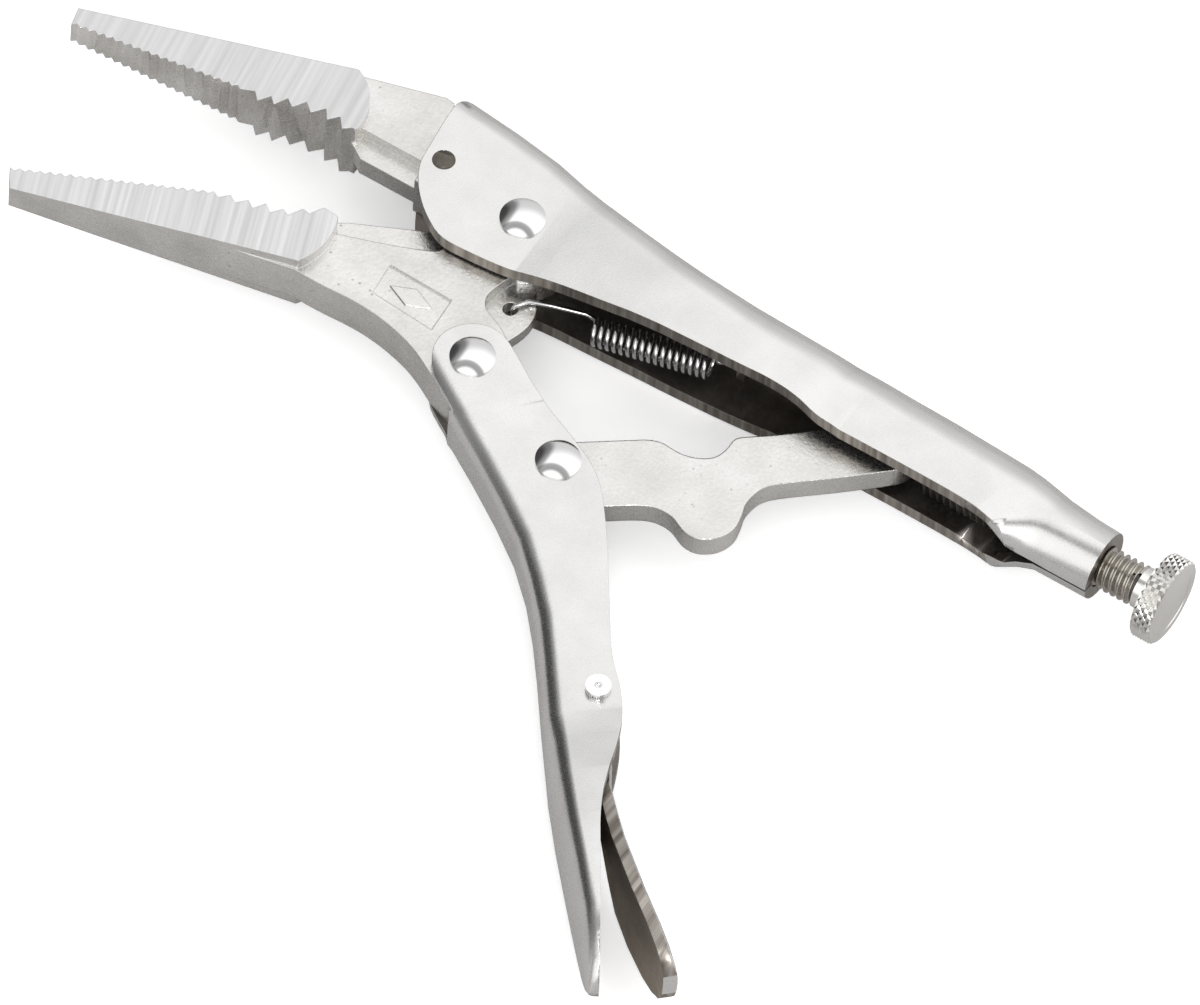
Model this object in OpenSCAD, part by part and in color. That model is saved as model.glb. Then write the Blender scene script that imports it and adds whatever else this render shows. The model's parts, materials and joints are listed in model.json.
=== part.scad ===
// Locking pliers with straight jaws, shown unlocked and open.
// Drawn about the main pivot: +X back along the upper handle, +Y up, +Z out of the near cheek.

/* [Overall] */
// Length from the jaw tip to the end of the adjusting knob, mm
tool_length = 165; // [130:1:200]
// Width of the upper handle at its widest, mm
handle_width = 14.6; // [12:0.1:18]
// Width of the spoon at the end of the lower handle, mm
spoon_width = 13.5; // [11:0.1:17]

/* [Sheet metal] */
// Sheet thickness of the upper handle, mm
upper_sheet = 2.0; // [1.5:0.05:2.5]
// Sheet thickness of the lower handle, mm
lower_sheet = 1.85; // [1.4:0.05:2.3]
// Sheet thickness of the release lever, mm
lever_sheet = 1.7; // [1.3:0.05:2.1]

/* [Jaws] */
// Thickness of both jaws at the ground faces, mm
jaw_thickness = 10; // [9:0.1:12]
// Thickness of both jaws at the tips, mm
tip_thickness = 3.6; // [3:0.1:5]
// Thickness of the jaw shanks between the upper cheeks, mm
shank_thickness = 6.86; // [6:0.02:8]
// Depth of the fine teeth, mm
fine_tooth_depth = 0.45; // [0.3:0.05:0.7]

/* [Pivots] */
// Diameter of the three large rivet heads, mm
rivet_head = 6; // [5:0.1:7]
// Diameter of the upper jaw pin, mm
jaw_pin = 3; // [2.4:0.1:3.6]
// Diameter of the release lever rivet head, mm
small_head = 3.35; // [2.8:0.05:4]
// Radial clearance of the turning joints, mm
running_fit = 0.05; // [0.02:0.01:0.1]

/* [Toggle] */
// Thickness of the toggle link, mm
link_thickness = 3.5; // [2.8:0.1:4.2]

/* [Adjusting screw] */
// Thread diameter of the adjusting screw, mm
screw_diameter = 5.8; // [5:0.1:6.6]
// Diameter of the knurled knob, mm
knob_diameter = 12; // [10:0.1:14]

/* [Spring] */
// Wire diameter of the tension spring, mm
spring_wire = 0.6; // [0.5:0.05:0.75]
// Outside diameter of the spring coil, mm
spring_outside = 4; // [3.3:0.1:4.6]

/* [Hidden] */
$fn = 64;
k = tool_length / 165;                 // plan scale against the drawn size
arc_steps = 6;                         // facets in each bend of a sheet section

// Half-thicknesses, from the middle of the tool outwards
shank_half = shank_thickness / 2;
cheek_gap = shank_half + 0.07;
cheek_half = cheek_gap + upper_sheet;
body_half = shank_half - 0.33;         // lower jaw body between the ears of the lower handle
ear_gap = body_half + 0.05;
ear_half = ear_gap + lower_sheet;
leg_gap = ear_gap - 0.3;
leg_half = leg_gap + lower_sheet;
tongue_half = 1.6;
handle_half = handle_width / 2;
spoon_half = spoon_width / 2;
lever_gap = leg_gap - 0.25;

// Pivot centres in the plan
pin_at = k * [-13.3, 2.1];
jaw_pivot = k * [6, -21.4];
link_pivot = k * [23.5, -28.6];
hook_at = k * [4.7, -10];
screw_y = -0.8 * k;
rivet_bore = rivet_head * 0.32;
small_bore = small_head * 0.36;
head_rim = 0.3;
head_height = 1.2;

// Tube at the rear of the upper handle
screw_r = screw_diameter / 2;
tube_bore = screw_r + running_fit;
tube_r = tube_bore + 0.85 * upper_sheet;
tube_end = 88.5 * k;
knob_end = 98.8 * k;
jaw_tip = -66.2 * k;

// Lower handle frame: origin on its jaw rivet, u along the handle, v towards the upper handle
handle_angle = -48;
lever_at = k * [52.3, 7.3];
handle_tip = 90.4 * k;

top_y = 13.065 * k;
bottom_y = -92.587 * k;
place = [-(jaw_tip + knob_end) / 2, -(top_y + bottom_y) / 2, handle_half];

// ---------- sheet sections ----------

function corner(cx, cy, rx, ry, start) =
    [for (i = [0:arc_steps]) let (a = start + 90 * i / arc_steps) [cx + rx * cos(a), cy + ry * sin(a)]];

// A section row is [x, top, half-width, bend width, bend height, foot, foot half-width, foot bend]
function section(s) = concat(
    corner(s[2] - s[3], s[1] - s[4], s[3], s[4], 0),
    corner(s[3] - s[2], s[1] - s[4], s[3], s[4], 90),
    corner(s[7] - s[6], s[5] + s[7], s[7], s[7], 180),
    corner(s[6] - s[7], s[5] + s[7], s[7], s[7], 270));

// The row of the cavity: one sheet thickness t inside, with its own foot height
function cavity(s, t, foot) =
    [s[0], s[1] - t, s[2] - t, max(s[3] - t, 0.3), max(s[4] - t, 0.3), foot, s[6] - t, max(s[7] - t,
    0.3)];

// Cavity rows with both ends run 2 mm past the sheet
function run_out(rows) = [for (i = [0:len(rows) - 1]) let (s = rows[i],
    e = i == 0 ? -2 : i == len(rows) - 1 ? 2 : 0) concat([s[0] + e], [for (j = [1:7]) s[j]])];

module loft(rows) {
    n = 4 * (arc_steps + 1);
    last = len(rows) - 1;
    points = [for (s = rows) for (p = section(s)) [s[0], p[1], p[0]]];
    sides = [for (i = [0:last - 1]) for (j = [0:n - 1]) let (a = i * n + j, b = i * n + (j + 1) % n)
        each [[a, b, b + n], [a, b + n, a + n]]];
    caps = [[for (j = [n - 1:-1:0]) j], [for (j = [0:n - 1]) last * n + j]];
    polyhedron(points = points, faces = concat(sides, caps), convexity = 6);
}

// A line of teeth from p to q: n crests with grooves of the given depth on the left of the line
function teeth(p, q, n, depth) = let (d = (q - p) / n, m = [-d[1], d[0]] / norm(d)) [
    for (i = [0:n - 1]) each [p + d * i, p + d * (i + 0.5) + m * depth]];

// Cuts the corners of an open line twice, which rounds it and keeps its two ends
function rounded(p, times = 2) = times == 0 ? p : rounded(concat([p[0]], [for (i = [0:len(p) - 2])
    each [p[i] * 0.75 + p[i + 1] * 0.25, p[i] * 0.25 + p[i + 1] * 0.75]], [p[len(p) - 1]]), times - 1);

module plate(half, points) translate([0, 0, -half]) linear_extrude(2 * half) polygon(points);
module bore(at, r, half = 20) translate([at[0], at[1], -half]) cylinder(r = r, h = 2 * half);
module placed() translate(place) children();
module in_handle() translate([jaw_pivot[0], jaw_pivot[1], 0]) rotate([0, 0, handle_angle]) children();

// ---------- upper handle ----------

// [x, top, widening, bend]: widening 0 is the cheek width in front and the tube radius behind
front_rows = [[-19, 13.4, 0, 3.5], [-14.4, 12.97, 0, 3.5], [-7.9, 12.3, 0, 3.5], [-1.2, 11.3, 0, 3.5],
    [3.4, 10.14, 0, 3.5], [6.7, 9.32, 0.22, 3.6], [12.9, 8.07, 0.56, 3.7], [19.6, 6.95, 0.88, 4],
    [24, 6.42, 1, 4.2], [28, 6.2, 1, 4.4], [32.3, 6.07, 0.98, 4.8]];
rear_rows = [[38.4, 6.16, 0.91, 5.2], [44.4, 6.38, 0.66, 5.3], [47.5, 6.5, 0.45, 5.3], [51, 6.57, 0.31, 5],
    [56.4, 6.46, 0.31, 5.2], [62.6, 6.36, 0.31, 5.3], [68.8, 6.06, 0.31, 5.3]];
// [x, top over the tube, widening, foot half-width, foot bend, foot under the tube, cavity foot under it]
crimp_rows = [[73.5, 2.05, 0.31, 5.02, 1, -1.9, 0], [76, 1.75, 0.22, 4.95, 2.4, -1.1, 0.7],
    [78.4, 1.3, 0.1, 4.75, 3.9, -0.45, 1.3], [80.6, 0.85, 0, 0, 0, 0, 1.7], [85.1, 0.3, 0, 0, 0, 0, 1.7],
    [88.5, 0.1, 0, 0, 0, 0, 1.7]];
deep = -16 * k;

function open_row(r, base) = let (w = base + r[2] * (handle_half - base),
    b = min(r[3] + upper_sheet - 2, w))
    [r[0] * k, r[1] * k, w, b, b, deep, (r[0] > 50 ? w - 0.45 : w), 0.6];
function crimp_row(r) = let (w = tube_r + r[2] * (handle_half - tube_r),
    top = screw_y + tube_r + r[1] * k,
    f = r[3] == 0 ? w : min(r[3] + tube_r - 4.65, w), b = r[3] == 0 ? w : min(r[4], f))
    [r[0] * k, top, w, w, w, screw_y - tube_r + r[5], f, b];
upper_rows = concat([for (r = front_rows) open_row(r, cheek_half)],
    [for (r = rear_rows) open_row(r, tube_r)],
    [for (r = crimp_rows) crimp_row(r)]);
upper_cavity = concat([for (i = [0:len(upper_rows) - 7]) cavity(upper_rows[i], upper_sheet, deep - 1)],
    [for (i = [0:5]) cavity(upper_rows[len(upper_rows) - 6 + i], upper_sheet,
        screw_y - tube_r + crimp_rows[i][6] / 1.7 * upper_sheet)]);

cheek_outline = k * concat(rounded([[-15.2, 13.1], [-16.1, 12], [-16.8, 10.3], [-15.9, 2], [-15.6, -0.1],
    [-14.1, -2.9], [-11.9, -5.3], [-9.5, -7.1], [-7.4, -8.2], [-4.6, -8.3], [1.8, -7.8], [4.7, -7.1],
    [9.5, -6.3], [15.2, -5.8], [20.9, -5.2], [29.9, -4.8], [35.5, -4.5], [41.2, -4], [44.5, -4.3], [47.5, -5],
    [51, -4.95], [60, -4.9], [69.3, -5], [73.5, -5.5], [76, -6.1], [80, -7]]), [[tube_end / k, -8],
    [tube_end / k, 20], [-10, 20], [-15.2, 14]]);
// Half-width of the gap between the two edges where they are pressed together: [x, half-width]
seam = k * [[70, 3.6], [73.5, 3.5], [76, 2.4], [78.4, 1], [80.6, 0.25], [83, 0.15], [92, 0.15]];

module upper_handle() color([0.76, 0.75, 0.72]) placed() {
    lug_x = 33.4 * k;
    difference() {
        union() {
            intersection() {
                plate(handle_half + 2, cheek_outline);
                difference() {
                    loft(upper_rows);
                    loft(run_out(upper_cavity));
                }
            }
            // lug lanced inwards for the rear hook of the spring
            translate([lug_x, -1.2 * k, -2]) cube([1.2, 5.8 * k, 4]);
        }
        bore([0, 0], rivet_bore);
        bore(pin_at, jaw_pin / 2);
        translate([tube_end - 16 * k, screw_y, 0]) rotate([0, 90, 0]) cylinder(r = tube_bore, h = 20 * k);
        translate([0, screw_y - 1, 0]) rotate([90, 0, 0]) linear_extrude(8)
            polygon(concat(seam, [for (i = [len(seam) - 1:-1:0]) [seam[i][0], -seam[i][1]]]));
        translate([lug_x - 1, 0, 0]) rotate([0, 90, 0]) cylinder(r = spring_wire, h = 4);
    }
}

// ---------- jaws ----------

// Wedge that narrows a jaw towards its tip, running back from the tip line at angle a
module wedge(tip, a) translate([tip[0], tip[1], 0]) rotate([0, 0, a]) rotate([90, 0, 0])
    translate([0, 0, -40 * k]) linear_extrude(80 * k) polygon([
        [-1, -tip_thickness / 2], [k * 41, -jaw_thickness / 2], [k * 80, -jaw_thickness / 2],
        [k * 80, jaw_thickness / 2], [k * 41, jaw_thickness / 2], [-1, tip_thickness / 2]]);

upper_grip = concat(teeth(k * [-65.6, -4.6], k * [-41.5, -2.1], 19, fine_tooth_depth), k * [
    [-41.5, -2.1], [-39.7, -1.4], [-38.6, -2.5], [-37.5, -1], [-36.5, -2], [-35.5, -0.2], [-34.3, -1.1],
    [-33.1, 0.6], [-31.8, -0.6], [-30.4, 1], [-29.4, -0.5], [-28.2, 0.8], [-27, -0.7], [-25.9, 0.1]]);

module upper_jaw() color([0.66, 0.65, 0.63]) placed() difference() {
    union() {
        intersection() {
            translate([0, 0, -jaw_thickness / 2]) linear_extrude(jaw_thickness) intersection() {
                polygon(concat(k * [[-66.2, -1.9]], upper_grip, k * [[-24, 0.2], [-22, 10.78]]));
                union() {
                    translate(k * [-33.5, 0.9]) circle(r = 8.25 * k);
                    translate(k * [-70, -10]) square(k * [36.5, 25]);
                }
            }
            wedge(k * [-66, -3], 0);
        }
        plate(shank_half, k * [[-36, 3], [-36, 6.6], [-18.8, 11.7], [-17.5, 11.5], [-16.7, 9.2],
            [-9, 8.3], [-2, 6.4], [-5, -1.4], [-15.4, -1.4], [-15.4, 1.6], [-30, 1.6]]);
        plate(tongue_half, k * [[-30, 2.5], [-29, 0.9], [-25.9, 0.1], [-23.6, -1.4], [-5, -1.4], [-5, 2.5]]);
    }
    bore([0, 0], 7.3 * k);
    bore(pin_at, jaw_pin / 2);
}

module upper_jaw_pin() color([0.25, 0.23, 0.22]) placed()
    translate([pin_at[0], pin_at[1], -cheek_half]) cylinder(r = jaw_pin / 2, h = 2 * cheek_half);

lower_grip = concat([for (p = teeth(k * [-60.1, -27.7], k * [-35.7, -17.5], 20, -fine_tooth_depth)) p],
    k * [[-35.7, -17.5], [-34.7, -18], [-33.5, -16.9], [-32.4, -17.6], [-31.1, -16.4], [-30, -17.2],
    [-28.9, -15.7], [-27.7, -16.6], [-26.5, -15.3], [-25.5, -15.8], [-24.4, -14], [-23.3, -14.2],
    [-22.2, -12.4], [-20.1, -12.6]]);
recess = k * [[-11.1, -14], [-1.6, -14.3], [-1.3, -19.6], [-10.7, -18.9]];

module lower_jaw() color([0.66, 0.65, 0.63]) placed() difference() {
    union() {
        intersection() {
            translate([0, 0, -jaw_thickness / 2]) linear_extrude(jaw_thickness) intersection() {
                polygon(concat(lower_grip, k * [[-17, -12.8], [-17, -20.3], [-20.9, -21.2],
                    [-33.4, -24.3], [-46.5, -27.6], [-58.4, -30.5]]));
                union() {
                    translate(k * [-28.5, -16.3]) circle(r = 9.3 * k);
                    translate(k * [-70, -40]) square(k * [41.5, 40]);
                }
            }
            wedge(k * [-60, -29], 20);
        }
        plate(body_half, k * concat([[-32, -19], [-22, -14.8]], rounded([[-18.4, -13.5], [-13, -11.6],
            [-7.8, -9.4], [-6.6, -8.4], [-6, -3.4]]), rounded([[3, -6.3], [2, -9.4], [1.7, -11.4],
            [2.6, -13], [5.2, -14], [7.7, -15.5], [9.7, -18]]), rounded([[9, -25.2], [7.2, -26.6],
            [5.7, -27.1], [2.5, -25.6], [-1, -23.6], [-4, -22.5], [-8, -21.6], [-12, -21.3],
            [-17, -21.6], [-21, -21.5]]), [[-32, -23.9]]));
        bore(jaw_pivot, 5 * k, body_half);
        bore([0, 0], 7 * k, shank_half);
        plate(tongue_half, k * [[-30, -18], [-24.4, -14.2], [-19.6, -10.7], [-9, -5.5], [-5, -6.5],
            [-8, -15]]);
        plate(1, k * concat(rounded([[1, -4], [5.6, -5.2], [6.9, -7.2], [7.8, -8.7], [8.1, -10.5],
            [7.8, -12.5], [6.5, -16]]), [[0, -13]]));
    }
    bore([0, 0], rivet_bore + running_fit);
    bore(jaw_pivot, rivet_bore + running_fit);
    bore(hook_at, 1);
    // framed field with a raised plain lozenge in its middle
    difference() {
        translate([0, 0, body_half - 0.35]) linear_extrude(2) polygon(recess);
        translate([-6.2 * k, -16.7 * k, body_half - 1]) scale([1, 0.45, 1])
            cylinder(r = 3.2 * k, h = 0.9, $fn = 4);
    }
}

// ---------- rivets ----------

module domed_rivet(at, half) translate([at[0], at[1], 0]) rotate_extrude() {
    polygon(concat([[0, -half - head_rim], [rivet_head / 2, -half - head_rim], [rivet_head / 2, -half],
        [rivet_bore, -half], [rivet_bore, half], [rivet_head / 2, half],
        [rivet_head / 2, half + head_rim], [0, half + head_rim]]));
    for (s = [-1, 1]) intersection() {
        rise = head_height - head_rim;
        r = (pow(rivet_head / 2, 2) + rise * rise) / (2 * rise);
        translate([0, s * (half + head_rim + rise - r)]) circle(r = r, $fn = 160);
        translate([0, s > 0 ? half + 0.1 : -half - 5]) square([rivet_head / 2, 4.9]);
    }
}

module pivot_rivet() color([0.85, 0.85, 0.85]) placed() domed_rivet([0, 0], cheek_half);
module lower_jaw_rivet() color([0.85, 0.85, 0.85]) placed() domed_rivet(jaw_pivot, ear_half);
module link_rivet() color([0.85, 0.85, 0.85]) placed() domed_rivet(link_pivot, leg_half);

module release_rivet() color([0.8, 0.8, 0.79]) placed() in_handle()
    translate([lever_at[0], lever_at[1], 0]) rotate_extrude() difference() {
        union() {
            translate([0, -leg_half - 0.9]) square([small_head / 2, 0.9]);
            translate([0, leg_half]) square([small_head / 2, 0.9]);
            translate([0, -leg_half - 0.2]) square([small_bore, 2 * leg_half + 0.4]);
        }
        for (s = [-1, 1]) translate([0, s * (leg_half + 0.9)]) circle(r = 0.5);
    }

// ---------- lower handle ----------

// [u, web, spoon factor, bend factor, bend height]: spoon factor 0 is the plain leg width
lower_shape = [[8.6, -4, 0, 0, 2.7], [14.7, -2.2, 0, 0, 2.7], [21.2, -0.5, 0, 0, 2.7],
    [27.6, 0.85, 0, 0, 2.7], [33.9, 1.35, 0, 0, 2.7], [40.1, 1.2, 0, 0, 2.7], [46.2, 0.7, 0, 0.05, 2.7],
    [55.2, -0.25, 0, 0.15, 2.8], [59, -0.6, 0.2, 0.3, 2.9], [64.8, -1.1, 0.6, 0.55, 3],
    [71.9, -1.4, 0.88, 0.8, 3], [78.5, -1.5, 1, 1, 3], [85.5, -1.5, 0.97, 1, 3]];
function leg_row(r, s = 0) = let (w = leg_half + r[2] * (spoon_half - leg_half) - s * lower_sheet,
    b = 2.7 + r[3] * (spoon_half - 2.7))
    [r[0] * k, -r[1] * k - s * lower_sheet, w, min(b - s * lower_sheet, w),
    r[4] - s * (lower_sheet - 0.2),
        -18 * k - s, w, 0.5];
ear_rows = [for (s = [0, 1]) [for (u = [-7, 7.6]) [u * k, (u < 0 ? 8.4 : 4.3) * k - s * lower_sheet,
    ear_half - s * lower_sheet, 2.7 - s * lower_sheet, 2.7 - s * lower_sheet, -18 * k - s,
    ear_half - s * lower_sheet, 0.5]]];
function tip_row(u, f, h, s = 0) = let (w = f * spoon_half) [u * k,
    1.5 * k + (h - 3) - s * lower_sheet, w, w,
    h, -18 * k - s, w, 0.5];
lower_rows = concat(ear_rows[0], [for (r = lower_shape) leg_row(r)],
    [tip_row(89.2, 0.87, 3), tip_row(92.0, 0.66, 3), tip_row(93.6, 0.45, 2.9), tip_row(94.8, 0.16, 2.6)]);
lower_cavity = concat([concat([-9 * k], [for (j = [1:7]) ear_rows[1][0][j]])], [ear_rows[1][1]],
    [for (r = lower_shape) leg_row(r, 1)],
    [tip_row(88.7, 0.62, 2.6, 1), tip_row(91.1, 0.4, 2.4, 1), tip_row(92.6, 0.15, 2, 1)]);

// Side view of the lower handle in its own frame, v upwards
leg_outline = k * concat(rounded([[-2.9, 4.4], [-0.9, 5.3], [7, 7.4], [13.7, 10.6], [15.7, 11.4],
    [18.3, 12.4], [21.7, 13], [28.5, 12.5], [35.2, 11.6], [45.3, 10.1], [48.6, 9.9], [52.4, 10.2],
    [56.4, 9.8], [58.8, 9.1], [61.9, 7.9], [64.8, 6.5], [70.4, 4.4], [79.2, 2.9], [87.1, 1.6], [93.2, 0.5],
    [97, 0]]), [[97, -8], [10, -8]], rounded([[7.9, -4.4], [5.9, -4], [3.4, -4.8], [1.3, -5.3],
    [-0.5, -5.25], [-2.7, -4.6], [-4.6, -2.9], [-5.4, 0], [-4.6, 2.9], [-2.9, 4.4]]));

module lower_handle() color([0.74, 0.73, 0.7]) placed() in_handle() difference() {
    intersection() {
        plate(spoon_half + 2, leg_outline);
        mirror([0, 1, 0]) difference() {
            loft(lower_rows);
            loft(lower_cavity);
        }
    }
    translate([-8 * k, -10 * k, -ear_gap]) cube([14.4 * k, 24 * k, 2 * ear_gap]);
    bore([0, 0], rivet_bore);
    bore(rotate_back(link_pivot - jaw_pivot), rivet_bore);
    bore(lever_at, small_bore);
}
function rotate_back(p) = [p[0] * cos(handle_angle) + p[1] * sin(handle_angle),
                           -p[0] * sin(handle_angle) + p[1] * cos(handle_angle)];

// ---------- toggle link ----------

slide_end = k * [56.5, -1.3];
link_outline = k * concat([[19.4, -25.7]], rounded([[23.3, -22.9], [27.9, -19.5], [31.3, -17],
    [34.5, -17.3], [36.2, -17], [37.8, -16.3], [39, -15.2], [39.5, -13.5], [39.4, -11.4], [40.6, -10.3],
    [43.9, -7.8], [54, 1.6]]), rounded([[59, -4.2], [54, -8.9], [47.9, -14.1], [46.4, -15.9],
    [46, -17.5], [45.9, -19.2], [46.5, -20.9], [46.9, -23.2], [46, -25.6], [43.9, -27.2], [42, -27.3],
    [40.7, -26.8], [39.4, -26.1], [37.8, -25.9], [36, -26.2], [34, -27.4], [31.1, -29.6], [27, -32.2]]));

module toggle_link() color([0.55, 0.54, 0.52]) placed() difference() {
    union() {
        plate(link_thickness / 2, link_outline);
        bore(link_pivot, 5 * k, link_thickness / 2);
        bore(slide_end, 3.8 * k, link_thickness / 2);
    }
    bore(link_pivot, rivet_bore + running_fit);
}

// ---------- release lever ----------

// [u, back, half-width factor, crown]: factor 0 fits between the legs, 1 is the full paddle
lever_shape = [[43, 7.6, 0, 0.4], [47, 8.8, 0, 0.4], [52, 9.5, 0, 0.4], [56, 9.2, 0, 0.4],
    [60, 8, 0, 0.4], [65.8, 6.9, 0.1, 0.4], [70.9, 7, 0.36, 0.45], [74.9, 7.2, 0.62, 0.6], [78.9, 7.6, 0.95, 0.8],
    [84.1, 8.4, 1, 0.9], [89.1, 9.4, 0.92, 0.9], [92.2, 10, 0.7, 0.8], [94.1, 10.3, 0.38, 0.6],
    [94.9, 10.4, 0.05, 0.4]];
function lever_row(r, s = 0) = let (w = lever_gap + r[2] * (spoon_half - lever_gap) + 0.5 * s)
    [r[0] * k + (s == 0 ? 0 : r[0] < 44 ? -2 : r[0] > 94 ? 2 : 0), r[1] * k - s * lever_sheet, w, w,
    r[3] + 0.1 * s, r[1] * k - 8, w, 0.5];

module release_lever() color([0.66, 0.64, 0.6]) placed() in_handle() difference() {
    union() {
        difference() {
            loft([for (r = lever_shape) lever_row(r)]);
            loft([for (r = lever_shape) let (s = lever_row(r, 1))
                concat([for (j = [0:4]) s[j]], [s[5] - 2, s[6], s[7]])]);
        }
        for (s = [-1, 1]) translate([0, 0, s * (lever_gap - 0.65)])
            plate(0.65, k * [[43.4, 5.2], [46, 4.6], [52.3, 4.3], [57, 5.2], [61.5, 6.2], [60, 7],
                [56, 8.2], [52, 8.5], [47, 7.8], [43.4, 6.7]]);
    }
    bore(lever_at, small_bore + running_fit);
}

// ---------- adjusting screw and knob ----------

screw_tip = 62.4 * k;
knob_face = 95.9 * k;

module adjusting_screw() color([0.8, 0.79, 0.76]) placed()
    translate([screw_tip, screw_y, 0]) rotate([0, 90, 0]) {
    translate([0, 0, 1]) cylinder(r = screw_r, h = knob_face - screw_tip - 1);
    cylinder(r1 = screw_r - 1, r2 = screw_r, h = 1);
}

module adjusting_knob() color([0.82, 0.81, 0.79]) placed()
    translate([knob_face, screw_y, 0]) rotate([90, 0, 90]) rotate_extrude() polygon([[0, 0],
        [knob_diameter / 2 - 0.6, 0], [knob_diameter / 2, 0.6],
        [knob_diameter / 2, knob_end - knob_face - 0.6],
        [knob_diameter / 2 - 0.6, knob_end - knob_face], [0, knob_end - knob_face]]);

// ---------- tension spring ----------

coil_r = (spring_outside - spring_wire) / 2;
coil_start = k * [15, -6.4];
coil_end = k * [30.4, -2.5];
coils = 17;
steps = 12;
sides = 6;
wire_r = spring_wire / 2;
coil_angle = atan2(coil_end[1] - coil_start[1], coil_end[0] - coil_start[0]);
coil_length = norm(coil_end - coil_start);
function along_coil(t) = let (a = 360 * coils * t, y = coil_r * cos(a)) [
    coil_start[0] + coil_length * t * cos(coil_angle) - y * sin(coil_angle),
    coil_start[1] + coil_length * t * sin(coil_angle) + y * cos(coil_angle), coil_r * sin(a)];
front_hook = [[4.7, -9.7, -1.6], [4.75, -10.1, -0.6], [4.75, -10.1, 0.6], [5.2, -9.6, 1.6],
    [6.3, -8.2, 1.7],
    [9, -6.8, 1.3], [13, -4.9, 0.4]];
rear_hook = [[31, -1.7, 0.3], [32.2, -0.9, 0], [33, -0.1, 0], [35.6, 0, 0], [36, 0.7, 0.3],
    [35.5, 1.4, 0.3]];
wire_path = concat(k * front_hook, [for (i = [0:steps * coils]) along_coil(i / (steps * coils))],
    k * rear_hook);

function wire_frame(i) = let (n = len(wire_path) - 1,
    t = wire_path[min(i + 1, n)] - wire_path[max(i - 1, 0)], d = t / norm(t),
    axis = abs(d[0] * cos(coil_angle) + d[1] * sin(coil_angle)) > 0.97
        ? [-sin(coil_angle), cos(coil_angle), 0] : [cos(coil_angle), sin(coil_angle), 0],
    a = cross(d, axis) / norm(cross(d, axis))) [a, cross(a, d)];

module tension_spring() color([0.8, 0.8, 0.8]) placed() {
    n = len(wire_path);
    points = [for (i = [0:n - 1]) let (f = wire_frame(i)) for (j = [0:sides - 1])
        wire_path[i] + wire_r * (f[0] * cos(360 * j / sides) + f[1] * sin(360 * j / sides))];
    sides_f = [for (i = [0:n - 2]) for (j = [0:sides - 1])
        let (a = i * sides + j, b = i * sides + (j + 1) % sides) each [[a, b + sides, b],
        [a, a + sides, b + sides]]];
    caps = [[for (j = [0:sides - 1]) j], [for (j = [sides - 1:-1:0]) (n - 1) * sides + j]];
    polyhedron(points = points, faces = concat(sides_f, caps), convexity = 10);
}

// ---------- nodes ----------

upper_handle();
upper_jaw();
upper_jaw_pin();
pivot_rivet();
lower_jaw();
lower_handle();
lower_jaw_rivet();
toggle_link();
link_rivet();
release_lever();
release_rivet();
adjusting_screw();
adjusting_knob();
tension_spring();
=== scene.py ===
"""Locking pliers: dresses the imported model's pieces and lights them on a pale table."""

import json
import logging
import math
from collections.abc import Callable
from dataclasses import dataclass, field
from enum import Enum, IntEnum

import bpy
from mathutils import Matrix, Vector


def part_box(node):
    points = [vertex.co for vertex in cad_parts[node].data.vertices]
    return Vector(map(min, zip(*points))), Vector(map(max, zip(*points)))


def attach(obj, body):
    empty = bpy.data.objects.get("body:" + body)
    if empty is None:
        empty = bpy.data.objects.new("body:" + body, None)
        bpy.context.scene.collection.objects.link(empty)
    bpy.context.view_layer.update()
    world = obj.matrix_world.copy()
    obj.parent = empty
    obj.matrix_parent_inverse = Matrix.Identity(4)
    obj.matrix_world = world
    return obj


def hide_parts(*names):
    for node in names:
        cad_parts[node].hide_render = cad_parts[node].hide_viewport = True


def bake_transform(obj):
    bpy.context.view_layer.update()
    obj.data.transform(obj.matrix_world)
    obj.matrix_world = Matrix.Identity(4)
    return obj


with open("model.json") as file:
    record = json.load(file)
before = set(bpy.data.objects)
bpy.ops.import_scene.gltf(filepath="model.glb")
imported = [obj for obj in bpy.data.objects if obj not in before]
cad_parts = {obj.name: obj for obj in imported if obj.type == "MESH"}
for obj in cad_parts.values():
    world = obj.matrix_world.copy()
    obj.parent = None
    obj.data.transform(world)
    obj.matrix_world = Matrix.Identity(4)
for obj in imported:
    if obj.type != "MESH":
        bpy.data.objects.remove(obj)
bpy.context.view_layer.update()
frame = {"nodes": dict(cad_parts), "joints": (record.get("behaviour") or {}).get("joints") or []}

MM = 0.001
WELD = 2e-6  # metres within which two points count as one
LEVEL = 0.9  # a face whose normal has at least this much z is level
UPRIGHT = 0.3  # a face whose normal has at most this much z is upright
SAME_PLANE = 0.9998  # cosine of the largest angle between two faces of one plane
HANDLE_LEAN = math.radians(-48.0)
ACROSS_HANDLE = Vector((-math.sin(HANDLE_LEAN), math.cos(HANDLE_LEAN), 0.0))
PIVOTS = {joint["name"]: Vector(joint["pos_m"]) for joint in frame["joints"] if joint.get("pos_m")}
MAIN = PIVOTS["main_pivot"]
MIDDLE_Z = MAIN.z

log = logging.getLogger("locking_pliers")


def at(x: float, y: float, z: float = 0.0) -> Vector:
    """A place in metres from millimetres about the main pivot, z from the tool's middle plane."""
    return MAIN + Vector((x, y, z)) * MM


# ---------- small mesh helpers ----------


def deselect() -> None:
    """Leaves every object unselected, in object mode."""
    if bpy.context.object and bpy.context.object.mode != "OBJECT":
        bpy.ops.object.mode_set(mode="OBJECT")
    bpy.ops.object.select_all(action="DESELECT")


def activate(obj: bpy.types.Object) -> None:
    """Makes one object the only selected and active one."""
    deselect()
    obj.select_set(True)
    bpy.context.view_layer.objects.active = obj


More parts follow.
